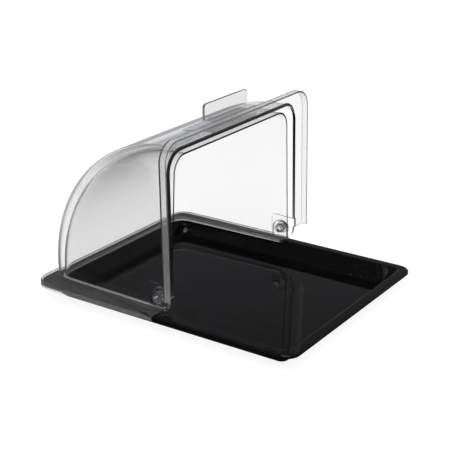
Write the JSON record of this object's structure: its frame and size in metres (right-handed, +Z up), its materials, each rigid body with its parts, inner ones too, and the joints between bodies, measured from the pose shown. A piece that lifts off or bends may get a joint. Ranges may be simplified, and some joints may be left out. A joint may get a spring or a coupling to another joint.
{
  "type": "roll-top serving tray",
  "caption": "Shallow black buffet tray under a clear roll-top cover; the front hood rolls back over the fixed rear hood on two pivots.",
  "frame": {"origin": "centre of the tray's underside, on the surface it stands on", "axes": "+Z up, -Y towards the front where the tray is open to the guest, X along the line of the pivots"},
  "size_m": [0.271, 0.325, 0.2212],
  "materials": {
    "black_plastic": "polished",
    "clear_plastic": "polished",
    "pin_plastic": "polished"
  },
  "bodies": {
    "tray": {"tray": "black_plastic"},
    "fixed_cover": {"rear_hood": "clear_plastic", "hinge_block_left": "clear_plastic", "hinge_block_right": "clear_plastic", "pivot_pin_left": "pin_plastic", "pivot_pin_right": "pin_plastic"},
    "rolling_cover": {"front_hood": "clear_plastic", "pull_handle": "clear_plastic"}
  },
  "joints": [
    {"name": "cover_lift", "type": "slide", "parent": "tray", "child": "fixed_cover", "axis": [0, 0, 1], "range_m": [0, 0.08]},
    {"name": "hood_roll", "type": "hinge", "parent": "fixed_cover", "child": "rolling_cover", "pos_m": [0, 0.0031, 0.0379], "axis": [1, 0, 0], "range_deg": [0, 91.3]}
  ]
}
